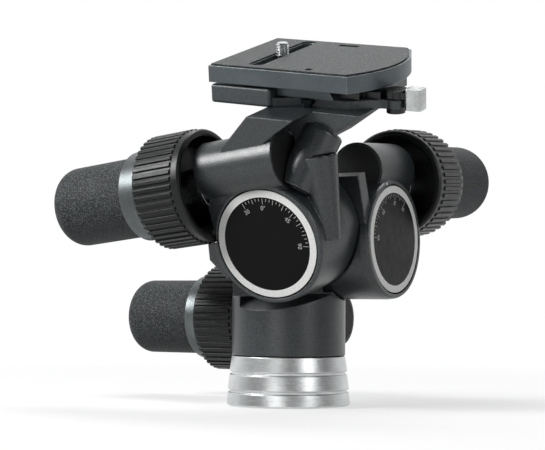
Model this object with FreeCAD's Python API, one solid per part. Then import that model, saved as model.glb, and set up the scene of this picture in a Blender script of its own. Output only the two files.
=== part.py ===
import FreeCAD, Part
import math
import os

# Three way geared head. Millimetres, +Z up, origin at the middle of the base's underside.
# +X is the side of the front tilt dial, -Y is the side of the side tilt dial.
V = FreeCAD.Vector

# Pose the parts are written in
front_rest = 19.2
side_rest = -8.5

# Fits between mating pieces, on the radius
run_gap = 0.03
press_gap = 0.01
screw_gap = 0.2
face_gap = 0.3
slide_gap = 0.05
jaw_gap = 0.1

# Base
base_radius = 30.0
base_top_radius = 27.65
base_height = 23.8
groove_heights = (6.9, 15.6)
groove_width = 1.2
groove_depth = 0.9
tripod_hole_radius = 3.97
bush_radius = 12.4
bush_height = 13.8
base_screw_circle = 16.0
base_screw_radius = 2.0
base_screw_head = 3.5

# Pan stage
column_bottom = 24.2
post_radius = 9.0
flange_radius = 20.0
pan_height = 41.7
pan_wheel_width = 5.6
column_bore = 25.3

# Front tilt axis: along X at this Y and Z
front_axis_y = 9.7
front_axis_z = 80.2
front_wheel_x = 38.5
front_face_x = 52.7
front_inner_x = 22.5
front_barrel_radius = 28.8
boss_radius = 14.8
boss_left = -14.0
boss_right = 21.5
bracket_foot = 53.5
bracket_front = -5.5
front_shaft_radius = 8.0

# Side tilt axis: along -Y at this X and Z
side_axis_x = 17.4
side_axis_z = 96.1
side_wheel_a = 40.06
side_face_a = 48.4
side_seam_a = 15.0
neck_back = 19.8
side_shaft_radius = 8.0
link_back = 7.8

# Gears: one start worms and their wheels
module = 1.0
worm_pitch_radius = 6.0
addendum = 0.7
dedendum = 0.82
wheel_tooth_share = 0.32
worm_tooth_share = 0.34
pan_teeth = 48
side_teeth = 48
front_teeth = 42
wheel_width = 7.0
wheel_room = 0.6

# Worm tubes
tube_radius = 13.7
tube_shift = 6.0
worm_bore = 7.5
worm_lift = 3.0
worm_tip_radius = 2.6
sleeve_start = 14.2
sleeve_flange = 11.6
cap_rim = 1.2
knob_slope = 15.0
tube_back = 25.0
tube_front_pan = 10.0
tube_front_front = 10.0
pan_tube_radius = 13.4
tube_front_side = 17.0
end_cap_thickness = 1.6

# Knobs
sleeve_radius = 8.9
worm_shaft_radius = 4.8
dish_radius = 26.5
dish_bore = 23.3
dish_lip = 4.0
pan_collar_start = 36.3
front_collar_start = 31.7
side_collar_start = 30.6
collar_radius = 27.1
collar_length = 22.3
rib_count = 48
rib_depth = 0.9
shoulder_radius = 21.5
grip_radius = 19.2
grip_round = 8.0
hub_radius = 9.0

# Dials
dial_radius = 25.5
dial_ring_inner = 22.2
dial_pocket = 26.3
dial_thickness = 2.0
dial_ring_depth = 0.8
index_dot_radius = 0.7
index_dot_height = 27.35

# Camera platform, measured up from the side tilt axis
receiver_bottom = 59.5
receiver_floor = 63.6
receiver_top = 68.2
receiver_left = -36.5
receiver_front = 32.0
plate_left = -36.8
plate_right = 34.2
plate_front = 32.5
plate_back = 33.0
plate_arc_reach = 45.4
plate_bottom = 69.3
plate_top = 77.8
pad_thickness = 0.8
slot_b = -15.5
slot_front = 24.0
slot_back = 26.0
slot_half_width = 3.4
camera_screw_radius = 3.1
dovetail_foot_half = 26.0
dovetail_lean = 0.55
lever_b = 47.5
lever_a = 10.0
lever_radius = 4.3
lever_pin_radius = 2.4
cam_radius = 3.3
cam_offset = 2.0


def cylinder(radius, low, high, x=0.0, y=0.0):
    return Part.makeCylinder(radius, high - low, V(x, y, low))


def ring(outer, inner, low, high, x=0.0, y=0.0):
    return cylinder(outer, low, high, x, y).cut(cylinder(inner, low - 1.0, high + 1.0, x, y))


def box(x0, x1, y0, y1, z0, z1):
    return Part.makeBox(x1 - x0, y1 - y0, z1 - z0, V(x0, y0, z0))


def prism(points, low, high):
    corners = [V(x, y, low) for x, y in points]
    face = Part.Face(Part.makePolygon(corners + corners[:1]))
    return face.extrude(V(0, 0, high - low))


def turned(points):
    corners = [V(r, 0, z) for r, z in points]
    face = Part.Face(Part.makePolygon(corners + corners[:1]))
    return face.revolve(V(0, 0, 0), V(0, 0, 1), 360)


def slot(half_width, x0, y0, x1, y1, low, high):
    away = math.atan2(y1 - y0, x1 - x0)
    side = V(-math.sin(away), math.cos(away), 0) * half_width
    a = V(x0, y0, low)
    b = V(x1, y1, low)
    corners = [a + side, b + side, b - side, a - side]
    bar = Part.Face(Part.makePolygon(corners + corners[:1])).extrude(V(0, 0, high - low))
    ends = [cylinder(half_width, low, high, x0, y0), cylinder(half_width, low, high, x1, y1)]
    return bar.fuse(ends).removeSplitter()


def hexagon(across_corners_radius, low, high):
    points = []
    for side in range(6):
        turn = math.radians(60 * side)
        points.append((across_corners_radius * math.cos(turn), across_corners_radius * math.sin(turn)))
    return prism(points, low, high)


def softened(shape, radius):
    return shape.makeFillet(radius, shape.Edges)


def joined(first, *others):
    return first.fuse(list(others)).removeSplitter()


def placed(shape, origin, z_direction, x_direction):
    y_direction = z_direction.cross(x_direction)
    turn = FreeCAD.Rotation(x_direction, y_direction, z_direction, "ZXY")
    moved = shape.copy()
    moved.Placement = FreeCAD.Placement(origin, turn).multiply(moved.Placement)
    return moved


# Level frame of the side tilt axis: x is to the right, y is up, z is toward the dial
def on_side_axis(shape):
    return placed(shape, V(side_axis_x, 0, side_axis_z), V(0, -1, 0), V(1, 0, 0))


# Level frame of the camera platform: x is to the right, y is back, z is up
def on_platform(shape):
    return placed(shape, V(side_axis_x, 0, side_axis_z), V(0, 0, 1), V(1, 0, 0))


# Level frame of the front tilt axis: x is back, y is up, z is toward the dial
def on_front_axis(shape):
    return placed(shape, V(0, front_axis_y, front_axis_z), V(1, 0, 0), V(0, 1, 0))


# Worm frames: the origin is the foot of the worm on the wheel's plane, z runs to the knob,
# x points at the wheel's middle
def on_pan_worm(shape):
    away = worm_distance(pan_teeth)
    return placed(shape, V(0, away, pan_height), V(-1, 0, 0), V(0, -1, 0))


def on_front_worm(shape):
    slope = math.radians(knob_slope)
    up = V(0, math.sin(slope), math.cos(slope))
    foot = V(front_wheel_x, front_axis_y, front_axis_z) + up * worm_distance(front_teeth)
    return placed(shape, foot, V(0, math.cos(slope), -math.sin(slope)), up * -1)


def on_side_worm(shape):
    slope = math.radians(knob_slope)
    up = V(-math.sin(slope), 0, math.cos(slope))
    foot = V(side_axis_x, -side_wheel_a, side_axis_z) + up * worm_distance(side_teeth)
    return placed(shape, foot, V(-math.cos(slope), 0, -math.sin(slope)), up * -1)


def front_tilted(shape):
    moved = shape.copy()
    moved.rotate(V(0, front_axis_y, front_axis_z), V(1, 0, 0), front_rest)
    return moved


def both_tilted(shape):
    moved = shape.copy()
    moved.rotate(V(side_axis_x, 0, side_axis_z), V(0, -1, 0), side_rest)
    return front_tilted(moved)


def on_tilted_front_worm(shape):
    return front_tilted(on_front_worm(shape))


def on_tilted_side_worm(shape):
    return both_tilted(on_side_worm(shape))


def write(name, shape):
    shape.exportStep("parts/" + name + ".step")


# Gears

def worm_distance(teeth):
    return module * teeth / 2.0 + worm_pitch_radius


def worm_lead_angle():
    return math.atan(module / (2.0 * worm_pitch_radius))


# The middle of the thread faces +x at z = 0 and at every whole pitch
def worm_thread(front_turns, back_turns):
    pitch = math.pi * module
    root = worm_pitch_radius - dedendum
    tip = worm_pitch_radius + addendum
    half = worm_tooth_share * pitch / 2.0
    lean = math.tan(math.radians(20.0))
    sunk = 0.3
    helix = Part.makeHelix(pitch, (front_turns + back_turns) * pitch, root)
    path = Part.Wire(helix.Edges)
    wide = half + (worm_pitch_radius - root + sunk) * lean
    narrow = half - addendum * lean
    corners = [V(root - sunk, 0, -wide), V(tip, 0, -narrow), V(tip, 0, narrow), V(root - sunk, 0, wide)]
    thread = path.makePipeShell([Part.makePolygon(corners + corners[:1])], True, True)
    thread.translate(V(0, 0, -front_turns * pitch))
    return thread


def wheel_outline(teeth, height, turn):
    pitch_radius = module * teeth / 2.0
    tip = pitch_radius + addendum
    root = pitch_radius - dedendum
    lean = math.tan(math.radians(20.0))
    half = wheel_tooth_share * math.pi * module / 2.0
    points = []
    for tooth in range(teeth):
        middle = 2.0 * math.pi * (tooth + 0.5) / teeth + turn
        spots = (
            (root, -(half + dedendum * lean)),
            (tip, -(half - addendum * lean)),
            (tip, half - addendum * lean),
            (root, half + dedendum * lean),
        )
        for radius, across in spots:
            angle = middle + across / radius
            points.append(V(radius * math.cos(angle), radius * math.sin(angle), height))
    return Part.makePolygon(points + points[:1])


# The wheel's middle is at z = 0 and a gap between teeth faces +x
def worm_wheel(teeth, width, bore):
    half = width / 2.0
    twist = math.tan(worm_lead_angle()) * half / (module * teeth / 2.0)
    low = wheel_outline(teeth, -half, twist)
    high = wheel_outline(teeth, half, -twist)
    blank = Part.makeLoft([low, high], True, True)
    return blank.cut(cylinder(bore, -half - 1, half + 1))


# Base and pan stage

def make_base_ring():
    slope = (base_radius - base_top_radius) / base_height
    points = [(bush_radius + 0.02, 0), (base_radius - 0.6, 0), (base_radius, 0.6)]
    for height in groove_heights:
        low = height - groove_width / 2.0
        high = height + groove_width / 2.0
        radius = base_radius - slope * height
        points.append((radius + 0.2, low - 0.4))
        points.append((radius - 0.2, low))
        points.append((radius - groove_depth, low))
        points.append((radius - groove_depth, high))
        points.append((radius - 0.2, high))
        points.append((radius + 0.2, high + 0.4))
    points.append((base_top_radius, base_height - 0.4))
    points.append((base_top_radius - 0.4, base_height))
    points.append((flange_radius + 0.05, base_height))
    points.append((flange_radius + 0.05, 17.8))
    points.append((bush_radius + 0.02, 17.8))
    body = turned(points)
    for number in range(3):
        body = body.cut(base_screw_room(number))
    return body


def base_screw_spot(number):
    angle = math.radians(90 + 120 * number)
    return base_screw_circle * math.cos(angle), base_screw_circle * math.sin(angle)


def base_screw_room(number):
    x, y = base_screw_spot(number)
    hole = cylinder(base_screw_radius + screw_gap, -1, 18.5, x, y)
    return hole.fuse(cylinder(base_screw_head + screw_gap, -1, 12.0, x, y))


def make_thread_bush():
    return ring(bush_radius, tripod_hole_radius, 0, bush_height)


def make_pan_spindle():
    points = [(3.0, 14.0), (bush_radius - 0.1, 14.0), (bush_radius - 0.1, 17.8), (flange_radius, 17.8)]
    points += [(flange_radius, 21.8), (post_radius, 21.8), (post_radius, 44.5), (5.0, 44.5)]
    points += [(5.0, 49.6), (4.6, 50.0), (3.0, 50.0)]
    body = turned(points)
    for number in range(3):
        x, y = base_screw_spot(number)
        body = body.cut(cylinder(base_screw_radius + press_gap, 17, 21.4, x, y))
    return body


def make_spindle_screws():
    screws = []
    for number in range(3):
        x, y = base_screw_spot(number)
        head = cylinder(base_screw_head, 8.5, 12.0, x, y)
        shank = cylinder(base_screw_radius, 11.9, 21.2, x, y)
        socket = hexagon(1.8, 8.4, 10.4)
        socket.translate(V(x, y, 0))
        screws.append(head.fuse(shank).cut(socket))
    return Part.makeCompound(screws)


def make_pan_wheel():
    wheel = worm_wheel(pan_teeth, pan_wheel_width, post_radius + press_gap)
    wheel.rotate(V(0, 0, 0), V(0, 0, 1), 90)
    wheel.translate(V(0, 0, pan_height))
    return wheel


def make_pan_washer():
    return ring(10.5, 5.1, 44.6, 45.5)


def make_pan_nut():
    return hexagon(9.2, 45.5, 49.5).cut(cylinder(5.01, 45, 50))


def make_column_bearing():
    collar = ring(15.0, post_radius + run_gap, 21.85, column_bottom)
    return collar.fuse(ring(12.0, post_radius + run_gap, column_bottom - 0.1, 38.4)).removeSplitter()


def make_bearing_plate():
    plate = ring(column_bore - press_gap, 12.0 + press_gap, column_bottom, 33.0)
    return plate.cut(cylinder(15.0 + press_gap, column_bottom - 1, column_bottom + 0.01))


def column_and_bracket():
    lower = cylinder(base_top_radius, column_bottom, 62.0)
    back = front_axis_y + boss_radius
    neck = box(boss_left, boss_right, front_axis_y - boss_radius, back, 60.0, front_axis_z)
    boss = on_front_axis(cylinder(boss_radius, boss_left, boss_right))
    body = joined(lower, neck, boss)
    # room for the tilting castings to swing over the front of the column
    profile = [(-40, 46.0), (-base_top_radius, 46.0), (-7.0, bracket_foot), (bracket_front, bracket_foot)]
    profile += [(bracket_front, 58.0), (0.5, 67.5), (0.5, 71.0), (-8.9, front_axis_z), (-8.9, 100.0), (-40, 100.0)]
    swing = placed(prism(profile, -13.0, 40.0), V(0, 0, 0), V(1, 0, 0), V(0, 1, 0))
    collar_swing = box(-40.0, -13.0, -40.0, -12.0, 52.4, 100.0)
    body = body.cut(swing).cut(collar_swing)
    barrel_room = on_front_axis(cylinder(front_barrel_radius + 0.7, front_inner_x - 0.7, 60.0))
    body = joined(body, on_pan_worm(worm_tube(tube_front_pan, pan_tube_radius)))
    body = body.cut(barrel_room)
    body = body.cut(cylinder(column_bore, column_bottom - 1, 44.8))
    body = body.cut(cylinder(12.0, 44.0, 50.5))
    body = body.cut(on_pan_worm(worm_tube_room(tube_front_pan, pan_tube_radius)))
    shaft_hole = cylinder(front_shaft_radius + press_gap, boss_left + 4.0, boss_right + 1)
    return body.cut(on_front_axis(shaft_hole))


def make_column():
    above = box(-60.0, 60.0, -60.0, 60.0, bracket_foot, 120.0)
    bracket_room = above.cut(on_pan_worm(worm_tube(tube_front_pan, pan_tube_radius)))
    return column_and_bracket().cut(bracket_room)


def make_tilt_bracket():
    below = box(-60.0, 60.0, -60.0, 60.0, 0.0, bracket_foot)
    tube = on_pan_worm(worm_tube(tube_front_pan, pan_tube_radius + press_gap))
    return column_and_bracket().cut(below.fuse(tube))


# Worm tubes, in the worm frame

def worm_tube(front, radius):
    return cylinder(radius, -front, tube_back, -tube_shift, 0)


def worm_tube_room(front, radius):
    cap_back = -front + end_cap_thickness
    room = slot(worm_bore, 0, 0, -worm_lift, 0, cap_back - 0.1, sleeve_start - 1.2)
    sleeve = cylinder(sleeve_radius + press_gap, sleeve_start - 1.3, tube_back)
    flange = cylinder(sleeve_flange + 0.5, tube_back, tube_back + 8.0)
    cap = cylinder(radius - cap_rim, -front - 1, cap_back, -tube_shift, 0)
    return room.fuse([sleeve, flange, cap])


def collar_room(collar_start):
    return cylinder(dish_radius + 0.7, collar_start - dish_lip - 0.6, collar_start + 30.0)


def make_worm_cap(front, radius):
    cap_back = -front + end_cap_thickness
    disc = cylinder(radius - cap_rim - press_gap, -front, cap_back, -tube_shift, 0)
    pilot = cylinder(4.6, cap_back - 0.1, cap_back + 1.0)
    seat = cylinder(worm_tip_radius + run_gap, -front + 0.7, -front + 4)
    return disc.fuse(pilot).cut(seat)


# Knob pieces, in the worm frame

def make_worm_shaft(front, end):
    root = worm_pitch_radius - dedendum
    tip = worm_tip_radius
    points = [(0, -front + 0.9), (tip, -front + 0.9), (tip, -front + 2.9), (root, -front + 2.9)]
    points += [(root, sleeve_start - 1.0), (worm_shaft_radius, sleeve_start - 0.6)]
    points += [(worm_shaft_radius, end - 0.5), (worm_shaft_radius - 0.5, end), (0, end)]
    return turned(points).fuse(worm_thread(2, 3))


def make_sleeve(collar_start):
    inner = worm_shaft_radius + run_gap
    end = collar_start + 20.0
    points = [(inner, sleeve_start), (sleeve_radius, sleeve_start), (sleeve_radius, tube_back)]
    points += [(sleeve_flange, tube_back), (sleeve_flange, tube_back + 2.4), (sleeve_radius, tube_back + 2.4)]
    points += [(sleeve_radius, end), (inner, end)]
    return turned(points)


def make_collar(start):
    edge = start - dish_lip
    stop = start + collar_length
    points = [(dish_bore, edge + 0.5), (dish_bore + 0.8, edge), (dish_radius - 0.8, edge)]
    points += [(dish_radius, edge + 0.8), (dish_radius, start), (collar_radius - rib_depth, start + 0.6)]
    points += [(collar_radius - rib_depth, stop - 0.4), (collar_radius - 2.6, stop + 1.3)]
    points += [(shoulder_radius + 1.6, stop + 1.3), (shoulder_radius + 0.8, stop + 0.6)]
    points += [(sleeve_radius + run_gap, stop + 0.6), (sleeve_radius + run_gap, start + 6.0), (dish_bore - 4.0, start + 6.0), (dish_bore, start + 1.5)]
    body = turned(points)
    width = 2.0 * math.pi * collar_radius / rib_count
    rib = prism(
        [(collar_radius - rib_depth - 0.3, -width * 0.34), (collar_radius, -width * 0.22),
         (collar_radius, width * 0.22), (collar_radius - rib_depth - 0.3, width * 0.34)],
        start + 0.7, stop - 0.6)
    ribs = []
    for number in range(rib_count):
        one = rib.copy()
        one.rotate(V(0, 0, 0), V(0, 0, 1), 360.0 * number / rib_count)
        ribs.append(one)
    return body.fuse(ribs)


def make_shoulder(start, shoulder_end):
    low = start + collar_length + 1.5
    points = [(worm_shaft_radius + press_gap, low), (shoulder_radius - 0.6, low), (shoulder_radius, low + 0.6)]
    points += [(shoulder_radius, shoulder_end - 0.8), (shoulder_radius - 0.8, shoulder_end)]
    points += [(worm_shaft_radius + press_gap, shoulder_end)]
    return turned(points)


def make_knob_core(shoulder_end, grip_end):
    points = [(worm_shaft_radius + press_gap, shoulder_end), (14.0, shoulder_end), (14.0, shoulder_end + 4.0)]
    points += [(hub_radius, shoulder_end + 5.0), (hub_radius, grip_end - 8.0)]
    points += [(worm_shaft_radius + press_gap, grip_end - 8.0)]
    return turned(points)


def make_grip(shoulder_end, grip_end):
    body = cylinder(grip_radius, shoulder_end, grip_end)
    top = [edge for edge in body.Edges if abs(edge.BoundBox.ZMin - grip_end) < 0.01]
    body = body.makeFillet(grip_round, top)
    core = [(0, shoulder_end - 1), (14.0 + press_gap, shoulder_end - 1), (14.0 + press_gap, shoulder_end + 4.0)]
    core += [(hub_radius + press_gap, shoulder_end + 5.0), (hub_radius + press_gap, grip_end - 7.6)]
    core += [(0, grip_end - 7.6)]
    return body.cut(turned(core))


def write_knob(name, put, front, radius, collar_start, shoulder_end, grip_end):
    write(name + "_worm", put(make_worm_shaft(front, grip_end - 8.5)))
    write(name + "_sleeve", put(make_sleeve(collar_start)))
    write(name + "_collar", put(make_collar(collar_start)))
    write(name + "_shoulder", put(make_shoulder(collar_start, shoulder_end)))
    write(name + "_knob_core", put(make_knob_core(shoulder_end, grip_end)))
    write(name + "_grip", put(make_grip(shoulder_end, grip_end)))
    write(name + "_worm_cap", put(make_worm_cap(front, radius)))


# Dials, in the frame of their axis with the face at z = 0

def make_dial():
    disc = cylinder(dial_radius, -dial_thickness, 0)
    groove = ring(dial_radius + 1, dial_ring_inner, -dial_ring_depth, 1)
    return disc.cut(groove)


def make_dial_ring():
    return ring(dial_radius, dial_ring_inner, -dial_ring_depth, 0)


def moved_up(shape, height):
    moved = shape.copy()
    moved.translate(V(0, 0, height))
    return moved


# Front tilt stage

def make_front_shaft():
    points = [(0, boss_left + 4.2), (front_shaft_radius, boss_left + 4.2)]
    points += [(front_shaft_radius, front_wheel_x + wheel_width / 2 + 2.0)]
    points += [(5.0, front_wheel_x + wheel_width / 2 + 2.0), (5.0, front_face_x - dial_thickness)]
    points += [(0, front_face_x - dial_thickness)]
    return turned(points)


def make_front_wheel():
    wheel = worm_wheel(front_teeth, wheel_width, front_shaft_radius + press_gap)
    wheel.rotate(V(0, 0, 0), V(0, 0, 1), 90.0 - knob_slope + front_rest)
    return moved_up(wheel, front_wheel_x)


def make_front_bearing():
    return ring(11.0, front_shaft_radius + run_gap, front_inner_x, front_inner_x + 9.0)


def make_tilt_housing():
    face = front_face_x + 0.2
    barrel = turned([(0, front_inner_x), (front_barrel_radius - 0.8, front_inner_x),
                     (front_barrel_radius, front_inner_x + 0.8), (front_barrel_radius, face - 4.0),
                     (dial_pocket + 2.1, face - 1.0), (dial_pocket + 1.5, face), (0, face)])
    body = on_front_axis(barrel)
    link = on_side_axis(cylinder(24.0, link_back, side_seam_a - face_gap))
    tube = on_front_worm(worm_tube(tube_front_front, tube_radius))
    heel = on_side_axis(prism([(5.0, -22.0), (34.0, -22.0), (34.0, 22.0), (5.0, 22.0)], link_back, side_seam_a - face_gap))
    body = joined(body, link, heel, tube)
    swept = on_side_axis(cylinder(31.6, side_seam_a - face_gap, 60.0))
    body = body.cut(swept)
    pocket = cylinder(dial_pocket, front_face_x - dial_thickness - 0.6, face + 1)
    cavity_low = front_wheel_x - wheel_width / 2 - 1.0
    pitch_radius = module * front_teeth / 2.0
    cavity = cylinder(pitch_radius + addendum + wheel_room, cavity_low, face + 1)
    seat = cylinder(11.0 + press_gap, front_inner_x - 1, cavity_low + 1)
    body = body.cut(on_front_axis(pocket.fuse([cavity, seat])))
    body = body.cut(on_front_worm(worm_tube_room(tube_front_front, tube_radius)))
    body = body.cut(on_front_worm(collar_room(front_collar_start)))
    dot_hole = cylinder(index_dot_radius, front_face_x - 0.3, face + 1)
    dot_hole.translate(V(0, index_dot_height, 0))
    body = body.cut(on_front_axis(dot_hole))
    nut_room = cylinder(10.0, 1.6, link_back)
    shaft_hole = cylinder(side_shaft_radius + press_gap, 0, 20.0)
    return body.cut(on_side_axis(nut_room.fuse(shaft_hole)))


def make_index_dot():
    dot = cylinder(index_dot_radius, front_face_x - 0.3, front_face_x + 0.25)
    dot.translate(V(0, index_dot_height, 0))
    return on_front_axis(dot)


def make_side_shaft():
    points = [(0, link_back - 6.0), (5.0, link_back - 6.0), (5.0, link_back), (side_shaft_radius, link_back)]
    points += [(side_shaft_radius, side_face_a - dial_thickness), (0, side_face_a - dial_thickness)]
    return turned(points)


def make_side_nut():
    return hexagon(9.0, link_back - 4.6, link_back).cut(cylinder(5.0 + press_gap, 0, 10))


def make_side_wheel():
    wheel = worm_wheel(side_teeth, wheel_width, side_shaft_radius + press_gap)
    wheel.rotate(V(0, 0, 0), V(0, 0, 1), 90.0 + knob_slope + side_rest)
    return moved_up(wheel, side_wheel_a)


def make_side_bearing():
    return ring(11.0, side_shaft_radius + run_gap, side_seam_a, 33.0)


# Side tilt stage: the head casting, in the frame of the side tilt axis

def head_web():
    points = [(-30.1, 15.0), (-32.0, 4.0), (-31.0, -12.0), (-22.0, -20.0), (0, -6.0), (0, 27.0), (-26.0, 30.0)]
    return prism(points, neck_back, side_face_a)


def head_neck():
    back = [(-27.0, 24.0), (-20.7, 43.8), (-7.3, receiver_bottom), (39.4, receiver_bottom), (10.1, 37.9), (-2.0, 26.0)]
    front = [(-27.0, 24.0), (-20.7, 43.8), (-7.3, receiver_bottom), (16.0, receiver_bottom), (7.0, 53.0), (-0.9, 46.6)]
    front += [(-4.0, 30.0)]
    rear = [(-4.0, receiver_bottom), (39.4, receiver_bottom), (18.0, 43.8), (8.0, 43.8), (-4.0, 46.0)]
    lean = prism([(48.0, 38.0), (70.0, 38.0), (70.0, 70.0), (30.5, 70.0), (32.0, receiver_bottom)], -60.0, 60.0)
    lean = placed(lean, V(0, 0, 0), V(1, 0, 0), V(0, 0, 1))
    face = prism(front, 30.0, 50.0).cut(lean)
    return joined(prism(back, neck_back, 31.0), face, prism(rear, -4.0, neck_back + 1.0))


def level_cone():
    top = V(19.5, 39.5, 33.5)
    tip = V(27.8, 3.0, 39.0)
    along = (tip - top)
    length = along.Length
    along.normalize()
    body = Part.makeCone(9.2, 5.0, length, V(0, 0, 0))
    return placed(body, top, along, along.cross(V(0, 0, 1)).normalize())


def level_direction():
    along = V(19.5, 39.5, 33.5) - V(27.8, 3.0, 39.0)
    return along.normalize()


def in_level(shape):
    along = level_direction()
    return placed(shape, V(19.5, 39.5, 33.5), along, along.cross(V(0, 0, 1)).normalize())


def make_head_casting():
    face = side_face_a + 0.2
    barrel = turned([(0, side_seam_a), (30.2, side_seam_a), (30.8, side_seam_a + 0.6), (30.6, side_seam_a + 12),
                     (28.8, face - 4.0), (28.4, face - 1.0), (27.8, face), (0, face)])
    tube = side_tube()
    body = joined(barrel, tube, head_web(), head_neck(), strut(), level_cone())
    pitch_radius = module * side_teeth / 2.0
    pocket = cylinder(dial_pocket, side_face_a - dial_thickness - 0.6, face + 1)
    cavity_low = side_wheel_a - wheel_width / 2 - 1.0
    cavity = cylinder(pitch_radius + addendum + wheel_room, cavity_low, face + 1)
    seat = cylinder(11.0 + press_gap, side_seam_a - 1, cavity_low + 1)
    body = body.cut(pocket.fuse([cavity, seat]))
    body = body.cut(in_level(cylinder(7.4, -7.0, 1)))
    solid = on_side_axis(body)
    solid = solid.cut(on_side_worm(worm_tube_room(tube_front_side, tube_radius)))
    solid = solid.cut(on_side_worm(collar_room(side_collar_start)))
    for x, a in receiver_screw_spots():
        solid = solid.cut(on_platform(cylinder(1.65, receiver_bottom - 9, receiver_bottom + 1, x, -a)))
    return solid


def side_tube():
    slope = math.radians(knob_slope)
    along = V(-math.cos(slope), -math.sin(slope), 0)
    inward = V(math.sin(slope), -math.cos(slope), 0)
    foot = V(0, 0, side_wheel_a) - inward * worm_distance(side_teeth)
    return placed(worm_tube(tube_front_side, tube_radius), foot, along, inward)


def strut():
    foot = V(12.0, 26.0, 41.0)
    head = V(19.5, 50.0, 26.0)
    along = head - foot
    body = cylinder(9.3, 0, along.Length)
    body = body.makeFillet(2.0, [edge for edge in body.Edges if edge.BoundBox.ZMin > 1.0])
    along.normalize()
    return placed(body, foot, along, along.cross(V(0, 0, 1)).normalize())


def make_level_rim():
    return in_level(ring(7.35, 5.9, -6.9, 0.5))


def make_level_vial():
    return in_level(cylinder(5.85, -6.8, -0.4))


# Camera platform

def receiver_screw_spots():
    return [(-2.0, 24.0), (10.0, 24.0), (4.0, 0.0), (24.0, 0.0)]


def make_receiver():
    floor_points = [(-30.0, -receiver_front + 2.0), (-5.0, -receiver_front + 2.0), (6.0, -23.0), (30.0, -23.0)]
    floor_points += [(42.0, -14.5), (42.0, -5.5), (34.0, 10.0), (34.0, receiver_front), (-30.0, receiver_front)]
    ear = cylinder(lever_radius + 0.3, receiver_bottom, receiver_floor, lever_b, -lever_a)
    arm = box(40.0, lever_b, -lever_a - 4.0, -lever_a + 4.0, receiver_bottom, receiver_floor)
    floor = joined(prism(floor_points, receiver_bottom, receiver_floor), ear, arm)
    rail = softened(box(receiver_left, -16.0, -receiver_front, receiver_front, receiver_bottom, receiver_top), 1.4)
    stop = softened(box(receiver_left, -5.0, -receiver_front, -25.6, receiver_bottom, receiver_top), 1.4)
    body = joined(floor, rail, stop)
    body = body.cut(dovetail_room())
    body = body.cut(cylinder(lever_pin_radius + run_gap, receiver_bottom - 1, receiver_top, lever_b, -lever_a))
    for x, a in receiver_screw_spots():
        body = body.cut(cylinder(1.6 + screw_gap, receiver_bottom - 1, receiver_floor + 1, x, -a))
        body = body.cut(cylinder(3.0 + screw_gap, receiver_floor - 2.4, receiver_floor + 1, x, -a))
    return body


def dovetail_half(height):
    return dovetail_foot_half - dovetail_lean * (height - receiver_floor)


def dovetail_room():
    top = plate_bottom + 1
    low = -dovetail_half(receiver_floor) - slide_gap
    high = -dovetail_half(top) - slide_gap
    points = [(low, receiver_floor), (60.0, receiver_floor), (60.0, top), (high, top)]
    shape = prism(points, -receiver_front - 1.0, 25.6)
    return placed(shape, V(0, 0, 0), V(0, -1, 0), V(1, 0, 0))


def make_receiver_screws():
    screws = []
    for x, a in receiver_screw_spots():
        head = cylinder(3.0, receiver_floor - 2.3, receiver_floor - 0.1, x, -a)
        shank = cylinder(1.6, receiver_bottom - 8.0, receiver_floor - 2.2, x, -a)
        socket = hexagon(1.5, receiver_floor - 1.4, receiver_floor)
        socket.translate(V(x, -a, 0))
        screws.append(head.fuse(shank).cut(socket))
    return Part.makeCompound(screws)


def make_plate():
    body = plate_outline(0.0, plate_bottom, plate_top - pad_thickness)
    low = receiver_floor + 0.3
    high = plate_bottom + 0.1
    foot = prism([(-dovetail_half(low), low), (dovetail_half(low) - 2.0, low),
                  (dovetail_half(high) - 2.0, high), (-dovetail_half(high), high)], -30.0, 25.4)
    foot = placed(foot, V(0, 0, 0), V(0, -1, 0), V(1, 0, 0))
    lightening = box(-8.0, 17.0, -22.0, 26.0, receiver_floor, plate_top - pad_thickness - 3.0)
    body = joined(body, foot).cut(lightening)
    low = receiver_floor - 1
    body = body.cut(slot(slot_half_width, slot_b, -slot_front, slot_b, slot_back, low, plate_top + 1))
    body = body.cut(slot(7.0, slot_b, -slot_front + 4, slot_b, slot_back - 4, low, plate_top - 5.0))
    body = body.cut(cylinder(1.3, low, plate_top, 12.8, -27.3))
    return body.cut(slot(1.6, 3.0, 26.2, 10.0, 26.2, plate_top - 3.0, plate_top + 1))


def plate_outline(inset, low, high):
    left = plate_left + inset
    right = plate_right - inset
    front = -plate_front + inset
    back = plate_back - inset
    reach = plate_arc_reach - inset
    corner = V(right, front, low)
    tip = V(reach, -1.6, low)
    rear = V(right + 3.0, back - 4.0, low)
    edges = [Part.makeLine(V(left, front, low), corner)]
    edges.append(Part.Arc(corner, tip, rear).toShape())
    edges.append(Part.Arc(rear, V(right + 2.0, back - 1.0, low), V(right - 2.0, back, low)).toShape())
    edges.append(Part.makeLine(V(right - 2.0, back, low), V(left, back, low)))
    edges.append(Part.makeLine(V(left, back, low), V(left, front, low)))
    return Part.Face(Part.Wire(edges)).extrude(V(0, 0, high - low))


def make_top_pad():
    body = plate_outline(1.0, plate_top - pad_thickness, plate_top)
    body = body.cut(slot(slot_half_width + 0.3, slot_b, -slot_front, slot_b, slot_back, plate_top - 2, plate_top + 1))
    body = body.cut(cylinder(1.8, plate_top - 2, plate_top + 1, 12.8, -27.3))
    return body.cut(slot(1.9, 3.0, 26.2, 10.0, 26.2, plate_top - 2, plate_top + 1))


def make_camera_screw():
    low = plate_top - 8.0
    body = turned([(0, low), (6.4, low), (6.4, plate_top - 5.2), (camera_screw_radius - 0.5, plate_top - 5.0),
                   (camera_screw_radius - 0.5, plate_top + 0.2), (camera_screw_radius, plate_top + 0.5),
                   (camera_screw_radius, plate_top + 4.6), (camera_screw_radius - 0.6, plate_top + 5.2),
                   (0, plate_top + 5.2)])
    body = body.cut(box(-7, 7, -0.6, 0.6, low - 1, low + 1.4))
    body.translate(V(slot_b, 0, 0))
    return body


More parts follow.
